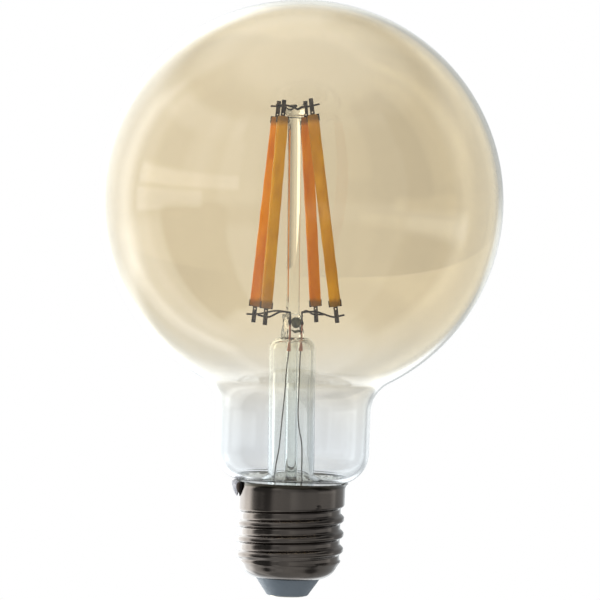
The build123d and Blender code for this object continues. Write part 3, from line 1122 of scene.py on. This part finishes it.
    def build_exhaust(self) -> None:
        """Turn the exhaust tube with its melted tip."""
        top, end = self.flare_top - self.wall - self.exhaust_gap, self.exhaust_end
        profile: Profile = [(self.exhaust_bore, top), (self.exhaust, top), (self.exhaust, end)]
        profile += arc((0.4, end - 0.7), 1.1, 0, -90, 8) + [(0.0, end - 1.8), (0.0, end - 0.6)]
        profile += [(0.6, end - 0.4), (self.exhaust_bore, end + 0.3)]
        piece = lathe("exhaust_pipe", profile, 64)
        LEAN.apply(piece)
        finish_piece(piece, MOUNT_GLASS, "clear_glass", "exhaust_tube")

    def build_rod(self) -> None:
        """Turn the rod with its foot and its squashed head."""
        low, top, crown = self.pinch_top, self.rod_top, self.rod_top + self.head_height
        profile: Profile = [(0, low), (self.rod + 0.12, low + 0.02), (self.rod, low + 0.7)]
        profile += [(self.rod, low + 12), (self.rod, low + 24), (self.rod, low + 36), (self.rod, top - 0.3)]
        profile += arc((self.head - 0.8, top + 0.8), 0.8, -80, 0, 6)
        profile += arc((self.head - 1.0, crown - 1.0), 1.0, 0, 80, 6)
        profile += [(0.9, crown - 0.06), (0, crown - 0.1)]
        piece = lathe("support_rod_glass", profile, 64, closed=False)
        for vertex, x, y, z in places(piece):
            turn, amount = math.atan2(y, x), min(1.0, max(0.0, (z - top) / 1.2))
            wave = math.sin(5 * turn + 2.2 * z) * 0.05 + math.sin(3 * turn - 1.7 * z + 1.0) * 0.045
            dip = 0.16 * (0.5 + 0.5 * math.sin(2.6 * x + 0.6) * math.cos(2.1 * y))
            vertex.co.xy *= 1 - amount * (0.06 + wave)
            vertex.co.z = (z - max(0.0, (z - crown + 1.2) / 1.2) * dip) * MM
        LEAN.apply(piece)
        finish_piece(piece, MOUNT_GLASS, "clear_glass", "support_rod")

    def build(self) -> None:
        """Build the mount's glass."""
        self.build_flare()
        self.build_vent_shade()
        self.build_crescent()
        self.build_light_lump()
        self.build_exhaust()
        self.build_rod()


@dataclass(frozen=True)
class Stand:
    """How a strip stands: bearings of its ends and of its broad face in degrees, and its lift."""

    node: str
    low_bearing: float
    top_bearing: float
    face: float
    lift: float
    finish: Finish


class Corner(Enum):
    """The four strips."""

    BACK_LEFT = Stand("back_left", 144.5, 144.5, -14.0, 0.0, BACK_LEFT_COAT)
    FRONT_LEFT = Stand("front_left", 236.0, 236.7, 20.0, 0.0, FRONT_LEFT_LIT_COAT)
    BACK_RIGHT = Stand("back_right", 60.5, 59.0, 20.0, 0.1, BACK_RIGHT_COAT)
    FRONT_RIGHT = Stand("front_right", -24.4, -35.2, -14.0, 0.5, FRONT_RIGHT_LIT_COAT)


@dataclass
class Strips:
    """Light strips with their clips, tongues and carriers."""

    low_radius: float = 10.95
    top_radius: float = 5.15
    low_z: float = 68.2
    top_z: float = 112.6
    width: float = 2.65
    thickness: float = 1.5
    overlap: float = 0.28
    edge: float = 0.5
    edge_limit: float = 50.0
    rows: int = 22

    def axes(self, stand: Stand) -> tuple[Vector, Vector, Vector, Vector]:
        """Find a strip's place and directions.

        Args:
            stand: How the strip stands.

        Returns:
            Its lower end and its directions: across the broad face, through it, and along.
        """
        low = around(self.low_radius, stand.low_bearing, self.low_z + stand.lift)
        up = (around(self.top_radius, stand.top_bearing, self.top_z + stand.lift) - low).normalized()
        across = around(1.0, stand.face, 0.0)
        across = (across - up * across.dot(up)).normalized()
        return low, across, up.cross(across), up

    def place(self, stand: Stand) -> Matrix:
        """Work out how a strip lies in the lamp.

        Args:
            stand: How the strip stands.

        Returns:
            Matrix from the strip's own frame to the lamp's, in metres.
        """
        low, across, side, up = self.axes(stand)
        matrix = Matrix((across, side, up)).transposed().to_4x4()
        matrix.translation = low * MM
        return LEAN.matrix() @ matrix

    def build_strip(self, stand: Stand) -> None:
        """Shape one coated strip from a block: rounded edges and slightly uneven sides.

        Args:
            stand: How the strip stands.
        """
        reach = math.hypot(self.low_radius - self.top_radius, self.top_z - self.low_z)
        length = reach + 2 * self.overlap
        phase = stand.low_bearing
        piece = block(f"{stand.node}_coated_strip", (self.width, self.thickness), 0.0, length)
        bpy.ops.object.mode_set(mode="EDIT")
        for i in range(1, self.rows):
            bpy.ops.mesh.select_all(action="SELECT")
            bpy.ops.mesh.bisect(plane_co=(0, 0, length * i / self.rows * MM), plane_no=(0, 0, 1))
        bpy.ops.object.mode_set(mode="OBJECT")
        limit = {"limit_method": "ANGLE", "angle_limit": math.radians(self.edge_limit)}
        add_modifier(piece, "BEVEL", width=self.edge * MM, segments=4, **limit)
        for vertex, _, _, z in places(piece):
            swell = 1 + 0.018 * math.sin(0.9 * z + phase) + 0.012 * math.sin(2.3 * z + 2 * phase)
            vertex.co.xy *= swell * (1 - 0.07 * max(0.0, 1 - min(z, length - z) / 0.8))
        piece.data.transform(self.place(stand) @ Matrix.Translation((0, 0, -self.overlap * MM)))
        finish_piece(piece, stand.finish, "filament_coat", f"{stand.node}_filament", angle=40.0)

    def build(self) -> None:
        """Build the strips and dress the stamped tabs."""
        for corner in Corner:
            node = corner.value.node
            self.build_strip(corner.value)
            dress_node(f"{node}_carrier", CARRIER)
            dress_node(f"{node}_lower_tab", TAB_STEEL)
            dress_node(f"{node}_upper_tab", TAB_STEEL)


@dataclass(frozen=True)
class Bend:
    """Shape of a support wire: the strips that it joins, its apex, height of its crossings, its hump."""

    name: str
    corners: tuple[Corner, Corner]
    apex: Point
    height: float
    hump: float


class Support(Enum):
    """The support wires: two over the tops of the inner leads, two through the rod's head."""

    LEFT = Bend("left_lower", (Corner.BACK_LEFT, Corner.FRONT_LEFT), (-0.586, -2.186, 66.89), 66.1, 0.75)
    RIGHT = Bend("right_lower", (Corner.BACK_RIGHT, Corner.FRONT_RIGHT), (2.186, -0.586, 66.89), 66.1, 0.75)
    FRONT = Bend("front_upper", (Corner.FRONT_LEFT, Corner.FRONT_RIGHT), (0.495, -0.857, 114.45), 115.4, 0.35)
    BACK = Bend("back_upper", (Corner.BACK_LEFT, Corner.BACK_RIGHT), (-0.495, 0.857, 114.5), 115.4, 0.35)


INNER_LEADS = {
    "left": [
        (-0.586, -2.186, 66.67), (-0.5, -2.186, 65.4), (-0.66, -2.2, 64.7), (-0.586, -2.186, 64.0),
        (-0.586, -2.186, 62.5), (-0.62, -2.16, 59.8), (-0.786, -2.136, 57.8),
    ],
    "right": [
        (2.186, -0.586, 66.67), (2.12, -0.6, 65.0), (2.24, -0.6, 64.3), (2.15, -0.6, 63.6),
        (2.15, -0.6, 62.5), (2.1, -0.57, 59.8), (1.986, -0.536, 57.8),
    ],
}
OUTER_LEADS = {
    "left": [
        (-0.786, -2.136, 57.8), (-1.0, -2.1, 55.6), (-1.3, -2.1, 53.1), (-1.6, -2.05, 47.5),
        (-2.3, -2.0, 39.7), (-2.7, -1.9, 34.6), (-3.4, -1.5, 31.0), (-3.75, -1.5, 27.0), (-5.4, -1.6, 15.4),
    ],
    "right": [
        (1.986, -0.536, 57.8), (1.8, -0.9, 55.5), (1.75, -1.2, 52.4), (1.6, -1.4, 47.5), (1.45, -1.6, 43.1),
        (1.7, -1.5, 39.8), (2.4, -1.4, 36.5), (2.55, -1.4, 33.5), (2.4, -1.6, 26.3), (3.4, -2.2, 15.2),
    ],
}


@dataclass
class Wires:
    """Support wires and leads of the mount, in the mount's own upright frame."""

    support: float = 0.46
    lead: float = 0.42
    thin_lead: float = 0.3
    depth: float = 0.37
    free_end: float = 1.8
    inner_end: float = 1.0
    wave: float = 0.18
    strips: Strips = field(default_factory=Strips)

    def crossing(self, corner: Corner, height: float) -> list[Vector]:
        """Find where a wire lies on a tab.

        Args:
            corner: The strip.
            height: Height of the crossing in millimetres.

        Returns:
            The wire's free end, its middle on the tab and its inner point, in millimetres.
        """
        low, across, normal, up = self.strips.axes(corner.value)
        centre = low + up * ((height - low.z) / up.z)
        outward = Vector((centre.x, centre.y, 0))
        side = across if across.dot(outward) > 0 else -across
        inward = normal if normal.dot(outward) < 0 else -normal
        middle = centre + inward * self.depth
        return [middle + side * self.free_end, middle, middle - side * self.inner_end]

    def build_support(self, bend: Bend) -> None:
        """Bend a wire from one tab over its apex to another tab.

        Args:
            bend: The wire's shape.
        """
        start, finish = (self.crossing(corner, bend.height) for corner in bend.corners)
        apex, lift, wave = Vector(bend.apex), Vector((0, 0, bend.hump)), Vector((0, 0, self.wave))
        route = [start[0] - wave, start[1], start[2] + wave, start[2].lerp(apex, 0.3) + lift * 0.6]
        route += [start[2].lerp(apex, 0.55) + lift, apex, apex, finish[2].lerp(apex, 0.55) + lift]
        route += [finish[2].lerp(apex, 0.3) + lift * 0.5, finish[2] - wave * 0.4, finish[1], finish[0] + wave]
        piece = wire_along(f"{bend.name}_support_wire", [tuple(p) for p in route], self.support)
        LEAN.apply(piece)
        finish_piece(piece, WIRE_METAL, "nickel_wire", f"{bend.name}_wire", angle=60.0)

    def build_leads(self, side: str) -> None:
        """Build a side's copper-clad lead through the pinch and the thin wire below it.

        Args:
            side: The side.
        """
        inner = INNER_LEADS[side]
        piece = wire_along(f"{side}_copper_lead", inner, self.lead, knots=(2, len(inner) - 1))
        LEAN.apply(piece)
        finish_piece(piece, COPPER, "copper_lead", f"{side}_inner_lead", angle=60.0)
        piece = wire_along(f"{side}_thin_lead", OUTER_LEADS[side], self.thin_lead)
        LEAN.apply(piece)
        finish_piece(piece, LEAD_METAL, "nickel_wire", f"{side}_outer_lead", angle=60.0)

    def build(self) -> None:
        """Build all wires."""
        for support in Support:
            self.build_support(support.value)
        for side in INNER_LEADS:
            self.build_leads(side)


@dataclass
class Driver:
    """Board and parts hidden in the cap."""

    finishes: dict[str, Finish] = field(default_factory=lambda: {
        "driver_board": BOARD,
        "bridge_rectifier": PACKAGE,
        "driver_chip": PACKAGE,
        "smoothing_capacitor": SLEEVE,
        "filter_inductor": FERRITE,
        "fusible_resistor": RESISTOR,
        "live_wire": INSULATION,
        "neutral_wire": INSULATION,
    })

    def build(self) -> None:
        """Dress each node."""
        for node, finish in self.finishes.items():
            dress_node(node, finish)


# Surroundings

WHITE = (1.0, 1.0, 1.0)


@dataclass(frozen=True)
class WhiteFloor(Finish):
    """Plain white floor."""

    name: str = "white_floor"
    paint: Colour = (0.85, 0.85, 0.85)

    def shade(self, graph: Graph) -> Socket:
        """Build paint for bounced light, full white for views, and an opening for mirrored views.

        Args:
            graph: The material's nodes.

        Returns:
            The shader.
        """
        paint = graph.surface(Base_Color=self.paint, Roughness=0.9)
        glow = graph.out(graph.node("ShaderNodeEmission", inputs={"Color": WHITE, "Strength": 1.0}))
        seen = graph.mixed(graph.some("Glossy Depth"), glow, graph.clear(WHITE))
        return graph.mixed(graph.some("Diffuse Depth"), seen, paint)


class Direction:
    """Direction into the room, with its bearing and height in degrees; bearing 0 is in front."""

    def __init__(self, graph: Graph) -> None:
        """Work the angles out of the world's direction.

        Args:
            graph: The world's nodes.
        """
        vector = graph.out(graph.node("ShaderNodeTexCoord"), "Generated")
        self.graph = graph
        self.x, y, self.z = (graph.axis(vector, name) for name in "XYZ")
        self.bearing = graph.math("ARCTAN2", self.x, -1 * y) * math.degrees(1)
        self.turned = self.bearing + graph.math("LESS_THAN", self.bearing, 0.0) * 360
        self.height = graph.math("ARCSINE", self.z) * math.degrees(1)


@dataclass(frozen=True)
class Patch:
    """Soft-edged field of the studio room, by bearing and height in degrees.

    Bearings from 0 up run on to 360, so that a field may cross the seam behind the lamp.
    """

    west: float
    east: float
    low: float
    high: float
    level: float
    soft: float = 3.0

    def span(self, graph: Graph, value: Socket, low: float, high: float) -> Socket:
        """1 between low and high, falling off softly on both sides."""
        rise = graph.step(value, low - self.soft, low + self.soft)
        return rise * graph.step(value, high - self.soft, high + self.soft, 1.0, 0.0)

    def mask(self, direction: Direction) -> Socket:
        """Work out the field's level over the room.

        Args:
            direction: The direction into the room.

        Returns:
            The level, 0 outside the field.
        """
        bearing = direction.turned if self.west >= 0 else direction.bearing
        sides = self.span(direction.graph, bearing, self.west, self.east)
        return sides * self.span(direction.graph, direction.height, self.low, self.high) * self.level


ROOM = (
    Patch(160, 242, -64, -16, 1.1, 5.0),
    Patch(-132, -88, -62, -8, 0.5, 4.0),
    Patch(-124, -100, -60, 36, 1.0, 8.0),
    Patch(150, 198, -9, 0, 0.4, 3.0),
    Patch(-104, -58, -64, 44, 0.65, 6.0),
    Patch(-62, -24, -64, 44, 0.55, 8.0),
    Patch(-30, 16, -64, 44, 0.24, 12.0),
    Patch(100, 205, -60, 38, 0.68, 8.0),
    Patch(172, 200, 4, 60, 0.4, 6.0),
    Patch(200, 250, 36, 60, 0.6, 8.0),
    Patch(-118, -40, 31, 42, 0.6, 3.0),
    Patch(-106, -36, 5, 12, 0.9, 1.5),
    Patch(-107, -58, -5, 3.5, 0.8, 1.2),
    Patch(-73, -36, 12, 31, 0.35, 2.5),
    Patch(-86, -44, -58, -4, -0.8, 3.0),
    Patch(-84, -22, -14, -3, -0.5, 4.0),
    Patch(0, 60, -10, 0, 0.3, 3.0),
    Patch(-48, 62, -62, 47, 0.38, 3.0),
    Patch(60, 100, -16, 28, 0.12, 3.0),
    Patch(60, 100, -60, -38, 0.15, 3.0),
    Patch(62, 110, -12, -3, 0.9, 4.0),
)

# The bright window behind at the left, which blinds the outer face of the glass
WINDOW = Patch(190, 247, -20, 34, 2.0, 9.0)
# What the satin metal of the cap blurs: a window at the left and a dark wall in front of it
BLURRED = (Patch(205, 268, -40, 46, 3.2, 6.0), Patch(284, 318, -40, 12, -0.7, 6.0))
# What the glass bends into view: the bright window behind at the left, and a darker corner at the right
BEHIND = (Patch(199, 246, -26, 26, 1.3, 3.0), Patch(112, 168, -26, 26, -0.3, 6.0))


@dataclass(frozen=True)
class Softbox:
    """Rectangular area lamp: its place and size in metres, its power in watts."""

    name: str
    place: Point
    size: Pair
    power: float

    def build(self, aim: Vector) -> None:
        """Hang the lamp, turned to a point.

        Args:
            aim: The point that it faces, in metres.
        """
        light = bpy.data.lights.new(self.name, "AREA")
        light.shape = "RECTANGLE"
        light.size, light.size_y = self.size
        light.energy = self.power
        lamp = linked(self.name, light)
        lamp.location = self.place
        lamp.rotation_euler = (aim - Vector(self.place)).to_track_quat("-Z", "Y").to_euler()
        lamp.visible_glossy = False
        lamp.visible_transmission = False


LAMPS = (
    Softbox("left_softbox", (-0.9, -0.35, 0.25), (0.7, 0.9), 9.0),
    Softbox("top_softbox", (0.1, -0.4, 0.95), (0.8, 0.6), 6.0),
    Softbox("right_fill", (0.9, -0.6, 0.15), (0.35, 0.8), 2.5),
)


@dataclass
class Studio:
    """Floor, white surroundings, lamps and camera."""

    floor_z: float = -60 * MM
    floor_size: float = 12.0
    aim: Point = (0, 0, 80 * MM)
    distance: float = 0.85
    elevation: float = 1.3
    roll: float = 2.1
    target: Point = (0.5 * MM, 0.0, 69.8 * MM)
    frame_width: float = 141.3 * MM
    clip_start: float = 0.01
    ceiling: float = 0.8
    ceiling_edge: Pair = (34, 58)
    ground_edge: Pair = (-66, -56)
    zenith: float = 0.6
    zenith_edge: Pair = (54, 70)
    inner_window: float = 0.6
    sky: Colour = (0.93, 0.975, 1.0)
    plain: float = 0.6
    dimmest: float = 0.15
    backdrop_sides: Pair = (-0.06, 0.05)
    backdrop_levels: Pair = (1.075, 0.845)
    backdrop_foot: Pair = (-0.055, -0.03)
    foot_shade: float = 0.06
    bounces: int = 32
    clear_bounces: int = 24

    def build_floor(self) -> None:
        """Lay a large floor below the lamp."""
        clear_selection()
        bpy.ops.mesh.primitive_plane_add(size=self.floor_size, location=(0, 0, self.floor_z))
        floor = bpy.context.object
        floor.name = "studio_floor"
        bpy.ops.object.transform_apply(location=True)
        floor.data.materials.append(WhiteFloor().material())

    def room(self, direction: Direction) -> Socket:
        """Work out the room that the lamp mirrors.

        Args:
            direction: The direction into the room.

        Returns:
            The room's level.
        """
        graph, height = direction.graph, direction.height
        level = graph.step(height, *self.ceiling_edge, 0.0, self.ceiling)
        level = level + graph.step(height, *self.ground_edge, self.ceiling, 0.0)
        for patch in ROOM:
            level = level + patch.mask(direction)
        level = level + graph.step(height, *self.zenith_edge, 0.0, self.zenith)
        outer = graph.none("Transmission Depth")
        level = level + WINDOW.mask(direction) * (self.inner_window + outer * (1 - self.inner_window))
        blurred = graph.none("Is Singular Ray")
        for patch in BLURRED:
            level = level + patch.mask(direction) * blurred
        return graph.math("MAXIMUM", level, self.dimmest)

    def backdrop(self, direction: Direction) -> Socket:
        """Work out what shows through the glass: paler at the left, a little dimmer below.

        Args:
            direction: The direction into the room.

        Returns:
            The backdrop's level.
        """
        level = direction.graph.step(direction.x, *self.backdrop_sides, *self.backdrop_levels)
        level = level + direction.graph.step(direction.z, *self.backdrop_foot, -self.foot_shade, 0.0)
        for patch in BEHIND:
            level = level + patch.mask(direction)
        return level

    def build_world(self) -> None:
        """White behind the lamp, a room with windows for reflections, plain light for the rest."""
        world = bpy.data.worlds.new("studio_room")
        bpy.context.scene.world = world
        world.use_nodes = True
        graph = Graph(world.node_tree)
        direction = Direction(graph)
        mirrored, scattered = graph.some("Glossy Depth"), graph.some("Diffuse Depth")
        through = graph.ray("Is Transmission Ray")
        seen = (1 - mirrored) * (through * self.backdrop(direction) + (1 - through))
        seen = mirrored * self.room(direction) + seen
        strength = scattered * self.plain + (1 - scattered) * seen
        colour = graph.blend(mirrored * (1 - scattered), WHITE, self.sky)
        shader = graph.node("ShaderNodeBackground", inputs={"Color": colour, "Strength": strength})
        graph.node("ShaderNodeOutputWorld", inputs={"Surface": graph.out(shader)})

    def build_camera(self) -> None:
        """Camera at the photograph's viewing angle, rolled with the lamp's tilt in the picture."""
        target = Vector(self.target)
        rise = math.radians(self.elevation)
        place = target + Vector((0, -math.cos(rise), math.sin(rise))) * self.distance
        data = bpy.data.cameras.new("photo_camera")
        data.angle = 2 * math.atan(self.frame_width / 2 / self.distance)
        data.clip_start = self.clip_start
        camera = linked("photo_camera", data)
        turn = (target - place).to_track_quat("-Z", "Y").to_matrix().to_4x4()
        roll = Matrix.Rotation(math.radians(self.roll), 4, "Z")
        camera.matrix_world = Matrix.Translation(place) @ turn @ roll
        bpy.context.scene.camera = camera

    def build(self) -> None:
        """Build the surroundings."""
        self.build_floor()
        self.build_world()
        for lamp in LAMPS:
            lamp.build(Vector(self.aim))
        self.build_camera()
        scene = bpy.context.scene
        scene.view_settings.view_transform = "Standard"
        scene.cycles.max_bounces = self.bounces
        scene.cycles.transmission_bounces = self.bounces
        scene.cycles.transparent_max_bounces = self.clear_bounces


def main() -> None:
    """Build the lamp and its surroundings in order."""
    logging.basicConfig(level=logging.INFO, format="%(message)s")
    Globe().build()
    Cap().build()
    Mount().build()
    Strips().build()
    Wires().build()
    Driver().build()
    Studio().build()


if __name__ == "__main__":
    main()
